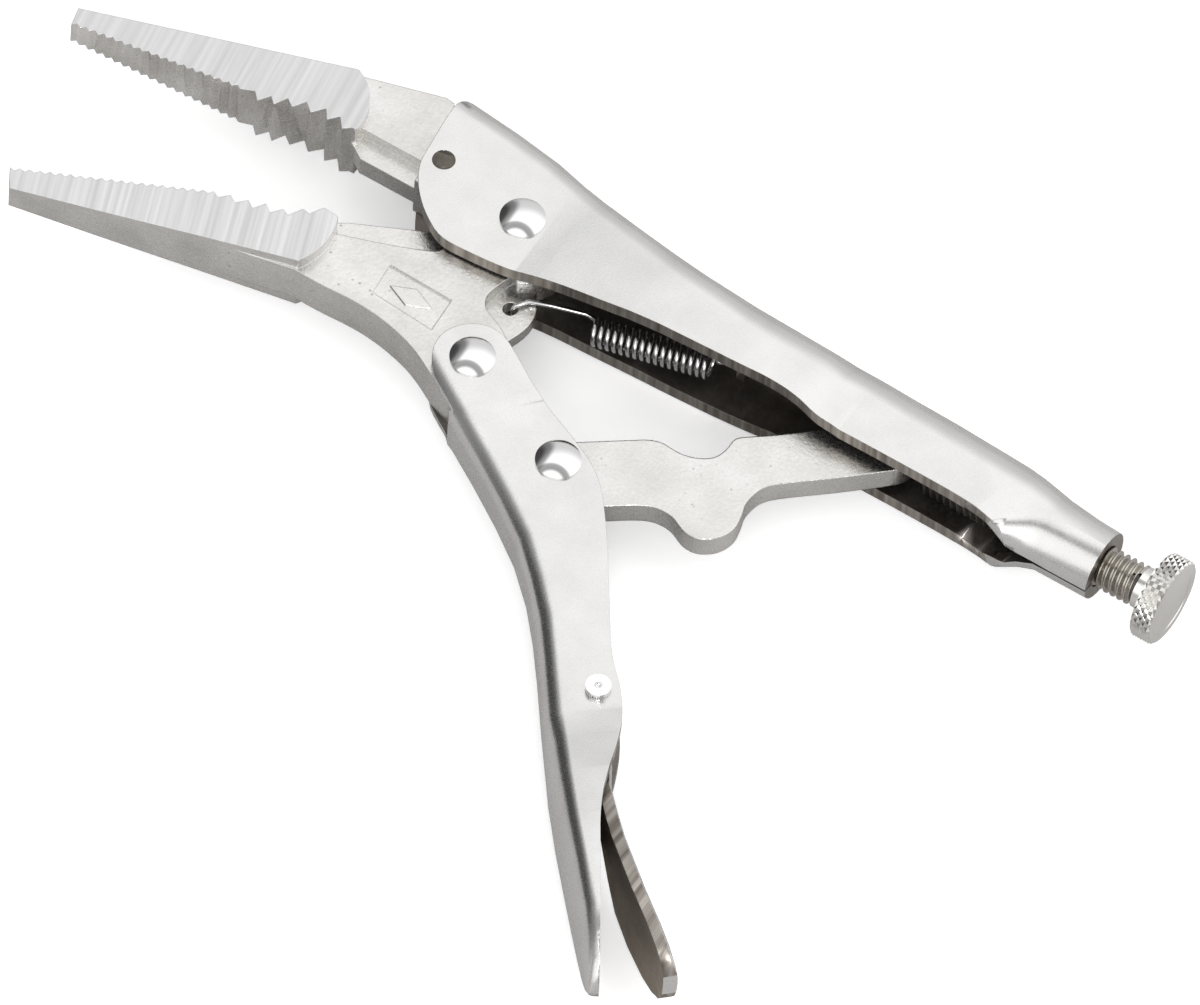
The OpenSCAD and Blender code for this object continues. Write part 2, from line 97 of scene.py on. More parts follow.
def apply_modifiers(obj: bpy.types.Object) -> None:
    """Applies all of an object's modifiers in order."""
    activate(obj)
    for modifier in list(obj.modifiers):
        bpy.ops.object.modifier_apply(modifier=modifier.name)


def settle(obj: bpy.types.Object) -> None:
    """Puts an object's place into its mesh, so that the object sits at the origin."""
    activate(obj)
    bpy.ops.object.transform_apply(location=True, rotation=True, scale=True)


def weld(distance: float) -> None:
    """Joins the edited mesh's coincident points and turns every face outward.

    Args:
        distance: How close two points are to count as one, in the mesh's own units.
    """
    bpy.ops.mesh.select_all(action="SELECT")
    bpy.ops.mesh.remove_doubles(threshold=distance)
    bpy.ops.mesh.normals_make_consistent(inside=False)


def select_vertices(obj: bpy.types.Object, chosen: Callable[[int, Vector], bool]) -> None:
    """Selects, in edit mode, the vertices that pass a test on their index and place.

    Args:
        obj: The mesh object, active and in edit mode.
        chosen: A function of (index, place) that says whether a vertex is taken.
    """
    bpy.ops.mesh.select_all(action="DESELECT")
    bpy.ops.object.mode_set(mode="OBJECT")
    for vertex in obj.data.vertices:
        vertex.select = chosen(vertex.index, vertex.co)
    bpy.ops.object.mode_set(mode="EDIT")


def join(parts: list[bpy.types.Object], name: str) -> bpy.types.Object:
    """Joins several meshes into one piece.

    Args:
        parts: The meshes, the first of which takes the others in.
        name: The name of the piece.

    Returns:
        The joined object.
    """
    deselect()
    for part in parts:
        part.select_set(True)
    bpy.context.view_layer.objects.active = parts[0]
    bpy.ops.object.join()
    parts[0].name = name
    parts[0].data.name = name
    return parts[0]


# ---------- shader node groups ----------


def new_group(
    name: str, inputs: dict[str, tuple[str, float]], outputs: list[str]
) -> bpy.types.NodeTree:
    """Makes an empty shader node group with named sockets.

    Args:
        name: The group's name.
        inputs: Socket name to (kind, default).
        outputs: Names of the float outputs.

    Returns:
        The group, with its input and output nodes in place.
    """
    group = bpy.data.node_groups.new(name, "ShaderNodeTree")
    for socket, (kind, default) in inputs.items():
        made = group.interface.new_socket(name=socket, in_out="INPUT", socket_type=kind)
        if kind == "NodeSocketFloat":
            made.default_value = default
    for socket in outputs:
        group.interface.new_socket(name=socket, in_out="OUTPUT", socket_type="NodeSocketFloat")
    group.nodes.new("NodeGroupInput").name = "in"
    group.nodes.new("NodeGroupOutput").name = "out"
    return group


def plated_grain_group() -> bpy.types.NodeTree:
    """Fine pearl grain of a satin plated surface, with a slow cloudy change and sparse pits.

    Returns:
        A group that gives Height, Cloud and Pits.
    """
    sockets = {"Vector": ("NodeSocketVector", 0), "Grain Scale": ("NodeSocketFloat", 4000.0)}
    group = new_group("plated_grain", sockets, ["Height", "Cloud", "Pits"])
    nodes, links = group.nodes, group.links
    source, out = nodes["in"], nodes["out"]
    fine = nodes.new("ShaderNodeTexNoise")
    fine.inputs["Detail"].default_value = 3.0
    fine.inputs["Roughness"].default_value = 0.6
    links.new(source.outputs["Vector"], fine.inputs["Vector"])
    links.new(source.outputs["Grain Scale"], fine.inputs["Scale"])
    cloud = nodes.new("ShaderNodeTexNoise")
    cloud.inputs["Scale"].default_value = 160.0
    cloud.inputs["Detail"].default_value = 4.0
    links.new(source.outputs["Vector"], cloud.inputs["Vector"])
    pits = nodes.new("ShaderNodeTexVoronoi")
    pits.inputs["Scale"].default_value = 700.0
    links.new(source.outputs["Vector"], pits.inputs["Vector"])
    mark = nodes.new("ShaderNodeMapRange")
    mark.inputs["From Min"].default_value = 0.05
    mark.inputs["From Max"].default_value = 0.16
    mark.inputs["To Min"].default_value = 1.0
    mark.inputs["To Max"].default_value = 0.0
    links.new(pits.outputs["Distance"], mark.inputs["Value"])
    patch = nodes.new("ShaderNodeMapRange")
    patch.inputs["From Min"].default_value = 0.52
    patch.inputs["From Max"].default_value = 0.62
    links.new(cloud.outputs["Fac"], patch.inputs["Value"])
    sparse = nodes.new("ShaderNodeMath")
    sparse.operation = "MULTIPLY"
    links.new(mark.outputs["Result"], sparse.inputs[0])
    links.new(patch.outputs["Result"], sparse.inputs[1])
    links.new(fine.outputs["Fac"], out.inputs["Height"])
    links.new(cloud.outputs["Fac"], out.inputs["Cloud"])
    links.new(sparse.outputs["Value"], out.inputs["Pits"])
    return group


def streak_group() -> bpy.types.NodeTree:
    """Long fine parallel lines, as a grinding wheel or a shear leaves them.

    Returns:
        A group that gives Height, the fine lines, and Tone, a few broader and fainter ones.
    """
    sockets = {"Vector": ("NodeSocketVector", 0), "Turn": ("NodeSocketFloat", 0.0),
               "Lines": ("NodeSocketFloat", 2500.0)}
    group = new_group("streaks", sockets, ["Height", "Tone"])
    nodes, links = group.nodes, group.links
    source, out = nodes["in"], nodes["out"]
    turn = nodes.new("ShaderNodeVectorRotate")
    turn.rotation_type = "Z_AXIS"
    links.new(source.outputs["Vector"], turn.inputs["Vector"])
    links.new(source.outputs["Turn"], turn.inputs["Angle"])
    for name, stretch, factor in (("Height", 0.02, 1.0), ("Tone", 0.012, 0.6)):
        squeeze = nodes.new("ShaderNodeVectorMath")
        squeeze.operation = "MULTIPLY"
        squeeze.inputs[1].default_value = (factor, stretch * factor, stretch * factor)
        links.new(turn.outputs["Vector"], squeeze.inputs[0])
        noise = nodes.new("ShaderNodeTexNoise")
        noise.inputs["Detail"].default_value = 5.0
        links.new(squeeze.outputs["Vector"], noise.inputs["Vector"])
        links.new(source.outputs["Lines"], noise.inputs["Scale"])
        links.new(noise.outputs["Fac"], out.inputs[name])
    return group


# ---------- finishes ----------


class Direction(Enum):
    """Which way a ground or sheared surface's lines run in the plan, as a turn in degrees."""

    ACROSS_UPPER_JAW = -8.0
    ACROSS_LOWER_JAW = -20.0
    ACROSS_EDGE = 0.0
    NONE = 90.0


@dataclass(frozen=True)
class MetalFinish:
    """A metal surface with grain or lines, cloudy tone and softly rounded edges."""

    name: str
    tone: tuple[float, float, float]
    shade: tuple[float, float, float]
    roughness: tuple[float, float]
    grain: float = 4000.0
    bump: float = 0.1
    bump_depth: float = 0.02
    pits: float = 0.0
    lines: Direction = Direction.NONE
    line_scale: float = 2500.0
    edge: float = 0.12

    def build(self) -> bpy.types.Material:
        """Makes the material, once, and gives it back.

        Returns:
            The node material of this finish.
        """
        if self.name in bpy.data.materials:
            return bpy.data.materials[self.name]
        material = bpy.data.materials.new(self.name)
        material.use_nodes = True
        material.diffuse_color = (*self.tone, 1.0)
        nodes, links = material.node_tree.nodes, material.node_tree.links
        shader = nodes["Principled BSDF"]
        shader.inputs["Metallic"].default_value = 1.0
        place = nodes.new("ShaderNodeTexCoord")
        texture = nodes.new("ShaderNodeGroup")
        lined = self.lines is not Direction.NONE
        texture.node_tree = bpy.data.node_groups["streaks" if lined else "plated_grain"]
        links.new(place.outputs["Object"], texture.inputs["Vector"])
        if lined:
            texture.inputs["Turn"].default_value = math.radians(self.lines.value)
            texture.inputs["Lines"].default_value = self.line_scale
            cloud = texture.outputs["Tone"]
        else:
            texture.inputs["Grain Scale"].default_value = self.grain
            cloud = texture.outputs["Cloud"]
        colour = nodes.new("ShaderNodeValToRGB")
        colour.color_ramp.elements[0].position = 0.3
        colour.color_ramp.elements[0].color = (*self.shade, 1.0)
        colour.color_ramp.elements[1].position = 0.7
        colour.color_ramp.elements[1].color = (*self.tone, 1.0)
        links.new(cloud, colour.inputs["Fac"])
        base = colour.outputs["Color"]
        if self.pits and not lined:
            stain = nodes.new("ShaderNodeMix")
            stain.data_type = "RGBA"
            stained = (c * (1.0 - self.pits) for c in self.tone)
            stain.inputs["B"].default_value = (*stained, 1.0)
            links.new(texture.outputs["Pits"], stain.inputs["Factor"])
            links.new(base, stain.inputs["A"])
            base = stain.outputs["Result"]
        links.new(base, shader.inputs["Base Color"])
        gloss = nodes.new("ShaderNodeMapRange")
        gloss.inputs["From Min"].default_value = 0.3
        gloss.inputs["From Max"].default_value = 0.7
        gloss.inputs["To Min"].default_value = self.roughness[0]
        gloss.inputs["To Max"].default_value = self.roughness[1]
        links.new(texture.outputs["Height"], gloss.inputs["Value"])
        links.new(gloss.outputs["Result"], shader.inputs["Roughness"])
        rounding = nodes.new("ShaderNodeBevel")
        rounding.samples = 8
        rounding.inputs["Radius"].default_value = self.edge * MM
        bump = nodes.new("ShaderNodeBump")
        bump.inputs["Strength"].default_value = self.bump
        bump.inputs["Distance"].default_value = self.bump_depth * MM
        links.new(texture.outputs["Height"], bump.inputs["Height"])
        links.new(rounding.outputs["Normal"], bump.inputs["Normal"])
        links.new(bump.outputs["Normal"], shader.inputs["Normal"])
        return material


SATIN = MetalFinish(
    "satin_nickel", (0.74, 0.735, 0.725), (0.67, 0.665, 0.655), (0.2, 0.3),
    grain=3200.0, bump=0.45)
# Darker copy of the satin plating for the handles' inward faces: painted shade inside the channels.
SATIN_PAINTED_SHADE = MetalFinish(
    "satin_nickel_painted_shade", (0.27, 0.245, 0.225), (0.12, 0.105, 0.095), (0.35, 0.55),
    grain=2500.0, bump=0.7)
# Darker, browner copy of the satin plating for the lever's underside: painted shade over a browner
# tone.
LEVER_PAINTED_SHADE = MetalFinish(
    "satin_lever_underside_painted_shade", (0.46, 0.40, 0.33), (0.32, 0.275, 0.22), (0.3, 0.5),
    grain=2500.0, bump=0.5)
SHEARED = MetalFinish(
    "sheared_sheet_edge", (0.52, 0.49, 0.45), (0.20, 0.175, 0.15), (0.3, 0.5),
    bump=0.6, lines=Direction.ACROSS_EDGE, line_scale=2200.0, edge=0.15)
FORGED = MetalFinish(
    "plated_forging", (0.76, 0.75, 0.735), (0.62, 0.61, 0.585), (0.22, 0.36),
    grain=1900.0, bump=0.9, bump_depth=0.05, pits=0.5, edge=0.2)
GROUND_UPPER = MetalFinish(
    "ground_face_upper_jaw", (0.80, 0.80, 0.80), (0.68, 0.68, 0.68), (0.28, 0.5),
    bump=0.35, lines=Direction.ACROSS_UPPER_JAW, line_scale=2600.0)
GROUND_LOWER = MetalFinish(
    "ground_face_lower_jaw", (0.80, 0.80, 0.80), (0.68, 0.68, 0.68), (0.28, 0.5),
    bump=0.35, lines=Direction.ACROSS_LOWER_JAW, line_scale=2600.0)
TOOTH = MetalFinish(
    "broached_teeth", (0.93, 0.92, 0.90), (0.68, 0.66, 0.63), (0.2, 0.36),
    grain=1500.0, bump=0.8, bump_depth=0.05, pits=0.5, edge=0.06)
MIRROR = MetalFinish(
    "polished_rivet", (0.88, 0.88, 0.88), (0.84, 0.84, 0.84), (0.05, 0.11),
    grain=1200.0, bump=0.08, edge=0.1)
DARK_PIN = MetalFinish(
    "sawn_pin_end", (0.22, 0.20, 0.17), (0.08, 0.07, 0.06), (0.4, 0.65),
    grain=1400.0, bump=1.0, bump_depth=0.12, pits=0.6)
STAMPED = MetalFinish(
    "plated_stamping", (0.76, 0.75, 0.735), (0.64, 0.63, 0.605), (0.22, 0.36),
    grain=2100.0, bump=0.9, bump_depth=0.04, pits=0.4, edge=0.3)
# Near-black copy of the thread for its part inside the tube: painted shade.
THREAD_PAINTED_SHADE = MetalFinish(
    "thread_in_tube_painted_shade", (0.12, 0.11, 0.10), (0.04, 0.035, 0.03), (0.4, 0.6),
    grain=2500.0, edge=0.05)
THREAD = MetalFinish(
    "rolled_thread", (0.62, 0.59, 0.54), (0.34, 0.315, 0.28), (0.14, 0.3),
    grain=2500.0, bump=0.3, edge=0.0)
KNURL = MetalFinish(
    "knurled_steel", (0.84, 0.83, 0.81), (0.70, 0.685, 0.66), (0.12, 0.24),
    grain=2500.0, bump=0.3, edge=0.0)
WIRE = MetalFinish(
    "spring_wire", (0.82, 0.82, 0.82), (0.66, 0.66, 0.66), (0.1, 0.22),
    grain=3000.0, bump=0.2, edge=0.0)


# ---------- pieces kept from the frame's shape ----------


class Sheet(IntEnum):
    """The places of a sheet piece's finishes."""

    OUTSIDE = 0
    # INSIDE takes the darker finish: painted shade on faces inside a channel or under the lever.
    INSIDE = 1
    SHEARED = 2


class Forging(IntEnum):
    """The places of a jaw's finishes."""

    PLATED = 0
    GROUND = 1
    TEETH = 2


@dataclass
class FramePiece:
    """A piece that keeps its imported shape, with smooth bends and one finish a region."""

    node: str
    body: str
    slot: str
    finishes: list[MetalFinish]
    smooth_angle: float = 32.0
    flat_sides: bool = False

    def region(self, centre: Vector, normal: Vector) -> int:
        """Says which finish a face has.

        Args:
            centre: The face's middle in millimetres about the main pivot, z from the middle plane.
            normal: The face's outward direction.

        Returns:
            The place of the finish in finishes.
        """
        return 0

    def sharpen_sides(self, mesh: bpy.types.Mesh) -> None:
        """Marks the borders of every level side face sharp, so that each plane shades evenly."""
        beside: dict[tuple[int, int], list[Vector]] = {}
        for face in mesh.polygons:
            for key in face.edge_keys:
                beside.setdefault(key, []).append(face.normal.copy())
        for edge in mesh.edges:
            pair = beside.get(tuple(sorted(edge.vertices)), [])
            if len(pair) != 2 or max(abs(n.z) for n in pair) <= LEVEL:
                continue
            if pair[0].dot(pair[1]) < SAME_PLANE:
                edge.use_edge_sharp = True

    def build(self) -> bpy.types.Object:
        """Copies the node, merges its faces, sets its finishes and rides it on its body.

        Returns:
            The finished piece.
        """
        source = frame["nodes"][self.node]
        mesh = source.data.copy()
        mesh.materials.clear()
        piece = bpy.data.objects.new(self.node + "_piece", mesh)
        bpy.context.scene.collection.objects.link(piece)
        activate(piece)
        bpy.ops.object.mode_set(mode="EDIT")
        bpy.ops.mesh.select_all(action="SELECT")
        bpy.ops.mesh.remove_doubles(threshold=WELD)
        bpy.ops.object.mode_set(mode="OBJECT")
        for finish in self.finishes:
            mesh.materials.append(finish.build())
        for face in mesh.polygons:
            face.material_index = self.region((face.center - MAIN) / MM, face.normal)
        activate(piece)
        bpy.ops.object.shade_smooth_by_angle(angle=math.radians(self.smooth_angle))
        if self.flat_sides:
            self.sharpen_sides(mesh)
        weighted = piece.modifiers.new("flat_faces_lead", "WEIGHTED_NORMAL")
        weighted.keep_sharp = True
        weighted.weight = 80
        apply_modifiers(piece)
        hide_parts(self.node)
        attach(piece, self.body)
        log.info("%s: %d faces", piece.name, len(mesh.polygons))
        return piece


@dataclass
class UpperHandle(FramePiece):
    """Bent sheet channel, bare at its sheared edges and darker inside, where painted shade stands
    in for the channel's shadow.

    The limits are in millimetres about the main pivot.
    """

    nose: float = -11.0
    rim_low: float = -2.5
    rim_top: float = 11.8
    rim_end: float = 74.0
    tube_end: float = 87.0
    bore_end: float = 88.0
    roof_half: float = 5.0
    lug_half: float = 2.3
    lug_span: tuple[float, float] = (32.5, 36.0)

    def region(self, centre: Vector, normal: Vector) -> int:
        """Gives the plated outside, the inside in painted shade, or a sheared edge."""
        upright = abs(normal.z) < 0.35 and (normal.y < -0.3 or normal.x < -0.6)
        rim = centre.y < self.rim_low or (centre.x < self.nose and centre.y < self.rim_top)
        if upright and rim and centre.x < self.rim_end:
            return Sheet.SHEARED
        if normal.x > 0.95 and centre.x > self.tube_end:
            return Sheet.SHEARED
        # The cheeks' inward faces, the roof's under face and the spring hook's lug take the darker
        # finish: painted shade inside the channel.
        side = abs(centre.z)
        cheek = normal.z * centre.z < -0.03 * side
        roof = normal.y < -0.5 and side < self.roof_half and centre.y > 0
        lug = side < self.lug_half and self.lug_span[0] < centre.x < self.lug_span[1]
        inside = (cheek or roof or lug) and centre.x < self.bore_end
        return Sheet.INSIDE if inside else Sheet.OUTSIDE


@dataclass
class LowerHandle(FramePiece):
    """Bent sheet channel that flattens to a spoon, bare along its open edge and darker inside,
    where painted shade stands in for the channel's shadow.
    """

    wall: float = 2.5
    channel_half: float = 4.5

    def region(self, centre: Vector, normal: Vector) -> int:
        """Gives the plated outside, the inside in painted shade, or a sheared edge."""
        side = abs(centre.z)
        open_side = normal.dot(ACROSS_HANDLE) > 0.5
        if open_side and abs(normal.z) < UPRIGHT and side > self.wall:
            return Sheet.SHEARED
        # The cheeks' inward faces and the inner face seen through the open side take the darker
        # finish: painted shade inside the channel.
        cheek = normal.z * centre.z < -0.1 * side
        inside = cheek or (open_side and side <= self.channel_half)
        return Sheet.INSIDE if inside else Sheet.OUTSIDE


@dataclass
class Jaw(FramePiece):
    """Forged jaw with ground sides and broached teeth.

    A side face is ground where it's further out than the boss or further forward than the step.
    The teeth lie in front of teeth_end, on one side of a line at teeth_line.
    """

    upper: bool = True
    boss_half: float = 3.6
    step: float = -36.5
    teeth_end: float = -23.0
    teeth_line: float = 1.6

    def region(self, centre: Vector, normal: Vector) -> int:
        """Gives the plated forging, a ground side face or a tooth."""
        if abs(normal.z) > LEVEL:
            ground = abs(centre.z) > self.boss_half or centre.x < self.step
            return Forging.GROUND if ground else Forging.PLATED
        facing = -1.0 if self.upper else 1.0
        teeth = facing * normal.y > 0.15 and facing * (centre.y - self.teeth_line) > 0
        if teeth and abs(normal.z) < UPRIGHT and centre.x < self.teeth_end:
            return Forging.TEETH
        return Forging.PLATED


@dataclass
class Lever(FramePiece):
    """Curved release lever, browner and darker underneath: painted shade over a browner tone."""

    rib: float = 2.0

    def region(self, centre: Vector, normal: Vector) -> int:
        """Gives the plated back, the rim, or the under side in painted shade."""
        up = normal.dot(ACROSS_HANDLE)
        if abs(up) < 0.3 and abs(centre.z) > self.rib:
            return Sheet.SHEARED
        return Sheet.INSIDE if up < -0.2 else Sheet.OUTSIDE


# ---------- pieces modelled anew ----------


@dataclass
class DomedRivet:
    """Rivet with a polished dome head on each side."""

    node: str
    body: str
    pivot: Vector
    cheek: float
    head: float = 6.0
    rim: float = 0.3
    rise: float = 0.9
    shank: float = 1.92
    segments: int = 64
    rings: int = 96

    def half(self, side: int) -> bpy.types.Object:
        """Makes one head and its half of the shank.

        Args:
            side: 1 for the near side, -1 for the far side.

        Returns:
            The half rivet, closed except at the middle plane.
        """
        radius = (self.head / 2) ** 2 / (2 * self.rise) + self.rise / 2
        deselect()
        bpy.ops.mesh.primitive_uv_sphere_add(
            segments=self.segments, ring_count=self.rings, radius=radius)
        part = bpy.context.object
        bpy.ops.object.mode_set(mode="EDIT")
        bpy.ops.mesh.select_all(action="SELECT")
        cut = radius - self.rise
        bpy.ops.mesh.bisect(plane_co=(0, 0, cut), plane_no=(0, 0, 1), clear_inner=True)
        narrow = self.shank / (self.head / 2)
        for drop, scale in ((self.rim, 1.0), (0.0, narrow), (self.cheek, 1.0)):
            bpy.ops.mesh.extrude_region_move()
            bpy.ops.transform.translate(value=(0, 0, -drop))
            bpy.ops.transform.resize(value=(scale, scale, 1.0), center_override=(0, 0, 0))
        bpy.ops.object.mode_set(mode="OBJECT")
        place = Matrix.Translation(self.pivot) @ Matrix.Diagonal((MM, MM, MM * side, 1.0))
        lift = self.cheek + self.rim + self.rise - radius
        part.matrix_world = place @ Matrix.Translation((0, 0, lift))
        settle(part)
        return part

    def build(self) -> bpy.types.Object:
        """Makes both heads and the shank as one closed piece.

        Returns:
            The finished rivet.
        """
        piece = join([self.half(1), self.half(-1)], self.node + "_piece")
        bpy.ops.object.mode_set(mode="EDIT")
        weld(WELD)
        bpy.ops.object.mode_set(mode="OBJECT")
        bpy.ops.object.shade_smooth_by_angle(angle=math.radians(30))
        piece.data.materials.append(MIRROR.build())
        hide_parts(self.node)
        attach(piece, self.body)
        log.info("%s: dome %.1f mm", piece.name, self.head)
        return piece


@dataclass
class AdjustingScrew:
    """Threaded rod through the tube of the upper handle, in millimetres."""

    pitch: float = 1.0
    crest: float = 2.88
    root: float = 2.38
    tip: float = 1.9
    tip_length: float = 0.5
    collar: float = 2.8
    collar_length: float = 1.8
    steps: int = 28
    core_steps: int = 48

    def build(self) -> bpy.types.Object:
        """Winds the thread along the rod and closes its ends.

        Returns:
            The finished screw.
        """
        low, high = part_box("adjusting_screw")
        length = (high[0] - low[0]) / MM
        turns = int((length - self.collar_length - 0.4) / self.pitch)
        thread = self.thread(turns)
        core = self.core(length)
        piece = join([thread, core], "adjusting_screw_piece")
        middle = (low[1] + high[1]) / 2
        place = Matrix.Translation((low[0], middle, MIDDLE_Z))
        piece.matrix_world = place @ Matrix.Diagonal((MM, MM, MM, 1.0))
        settle(piece)
        bpy.ops.object.shade_smooth_by_angle(angle=math.radians(28))
        for finish in (THREAD, THREAD_PAINTED_SHADE, KNURL):
            piece.data.materials.append(finish.build())
        in_tube = Vector(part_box("upper_handle")[1]).x - 1.5 * MM
        collar_start = high[0] - (self.collar_length + 0.05) * MM
        for face in piece.data.polygons:
            away = math.hypot(face.center.y - middle, face.center.z - MIDDLE_Z)
            collar = face.center.x > collar_start and away > (self.root + 0.02) * MM
            # The thread inside the tube takes the near-black finish: painted shade for the dark
            # inside of the tube.
            face.material_index = 1 if face.center.x < in_tube else 2 if collar else 0
        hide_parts("adjusting_screw")
        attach(piece, "adjusting_screw")
        log.info("%s: %d turns of thread", piece.name, turns)
        return piece

    def thread(self, turns: int) -> bpy.types.Object:
        """Winds one pitch's outline into the whole thread.

        Args:
            turns: How many turns the thread has.

        Returns:
            The thread's open surface, about the x axis.
        """
        crest, root = self.crest, self.root
        shape = [(0.0, root), (0.1, root), (0.42, crest), (0.58, crest), (0.9, root), (1.0, root)]
        part = self.outline([(share * self.pitch, radius) for share, radius in shape])
        winding = part.modifiers.new("thread", "SCREW")
        winding.axis = "X"
        winding.steps = winding.render_steps = self.steps
        winding.screw_offset = self.pitch
        winding.iterations = turns
        winding.use_merge_vertices = True
        winding.merge_threshold = 0.001
        apply_modifiers(part)
        bpy.ops.object.mode_set(mode="EDIT")
        weld(0.002)
        bpy.ops.object.mode_set(mode="OBJECT")
        return part

    def core(self, length: float) -> bpy.types.Object:
        """Turns the rod under the thread, with its blunt tip and its collar.

        Args:
            length: The whole rod's length.

        Returns:
            The closed rod, about the x axis.
        """
        rod = self.root - 0.02
        shoulder = length - self.collar_length
        part = self.outline([
            (0.0, 0.0), (0.0, self.tip), (self.tip_length, rod), (shoulder - 0.1, rod),
            (shoulder, self.collar), (length, self.collar), (length, 0.0)])
        bpy.ops.object.mode_set(mode="EDIT")
        bpy.ops.mesh.select_all(action="SELECT")
        bpy.ops.mesh.spin(
            steps=self.core_steps, angle=math.tau, center=(0, 0, 0), axis=(1, 0, 0))
        weld(0.0005)
        bpy.ops.object.mode_set(mode="OBJECT")
        return part

    @staticmethod
    def outline(points: list[tuple[float, float]]) -> bpy.types.Object:
        """Draws a line of edges beside the x axis.

        Args:
            points: Pairs of the distance along the axis and from it.

        Returns:
            The line, selected and active.
        """
        deselect()
        bpy.ops.mesh.primitive_plane_add(size=1.0)
        part = bpy.context.object
        edges = [(i, i + 1) for i in range(len(points) - 1)]
        part.data.clear_geometry()
        part.data.from_pydata([(x, 0.0, r) for x, r in points], edges, [])
        activate(part)
        return part


@dataclass
class AdjustingKnob:
    """Round knob with a diamond-knurled rim and a plain end."""

    columns: int = 60
    rows: int = 5
    depth: float = 0.42
    chamfer: float = 0.35
    rim_scale: float = 0.82
    dish: float = 0.12
    dish_scale: float = 0.97

    def build(self) -> bpy.types.Object:
        """Draws the rim out ring by ring, presses the diamonds in and closes both ends.

        Returns:
            The finished knob.
        """
        low, high = (Vector(corner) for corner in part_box("adjusting_knob"))
        radius = (high.z - low.z) / 2
        width = high.x - low.x
        axis = Vector((low.x, (low.y + high.y) / 2, MIDDLE_Z))
        deselect()
        chamfer = self.chamfer * MM
        bpy.ops.mesh.primitive_circle_add(vertices=self.columns, radius=radius - chamfer,
                                          location=axis, rotation=(0, math.pi / 2, 0))
        piece = bpy.context.object
        piece.name = "adjusting_knob_piece"
        settle(piece)
        step = (width - 2 * chamfer) / (self.rows - 1)
        bpy.ops.object.mode_set(mode="EDIT")
        bpy.ops.mesh.select_all(action="SELECT")
        self.ring(chamfer, radius / (radius - chamfer), axis)
        for _ in range(self.rows - 1):
            self.ring(step, 1.0, axis)
        self.ring(chamfer, (radius - chamfer) / radius, axis)
        self.ring(0.0, self.rim_scale, axis)
        self.ring(-self.dish * MM, self.dish_scale, axis)
        bpy.ops.mesh.edge_face_add()
        bpy.ops.mesh.select_all(action="DESELECT")
        bpy.ops.object.mode_set(mode="OBJECT")
        points = piece.data.vertices
        for edge in piece.data.edges:
            edge.select = all(abs(points[v].co.x - low.x) < 1e-7 for v in edge.vertices)
        bpy.ops.object.mode_set(mode="EDIT")
        bpy.ops.mesh.edge_face_add()
        total = self.columns
        rings = range(1, self.rows + 1)
        select_vertices(
            piece, lambda i, _: i // total in rings and (i // total + i % total) % 2 == 1)
        shrink = 1 - self.depth * MM / radius
        bpy.ops.transform.resize(value=(1.0, shrink, shrink), center_override=axis)
        bpy.ops.mesh.select_all(action="SELECT")
        bpy.ops.mesh.quads_convert_to_tris(quad_method="SHORTEST_DIAGONAL")
        bpy.ops.mesh.normals_make_consistent(inside=False)
        bpy.ops.object.mode_set(mode="OBJECT")
        piece.data.materials.append(KNURL.build())
        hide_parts("adjusting_knob")
        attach(piece, "adjusting_knob")
        log.info("%s: %d by %d knurl", piece.name, self.columns, self.rows)
        return piece

    @staticmethod
    def ring(along: float, scale: float, axis: Vector) -> None:
        """Extrudes the selected ring along the knob's axis and scales it.

        Args:
            along: Metres towards the knob's end.
            scale: Factor on the ring's radius.
            axis: A point on the knob's axis.
        """
        bpy.ops.mesh.extrude_region_move()
        bpy.ops.transform.translate(value=(along, 0, 0))
        bpy.ops.transform.resize(value=(1.0, scale, scale), center_override=axis)


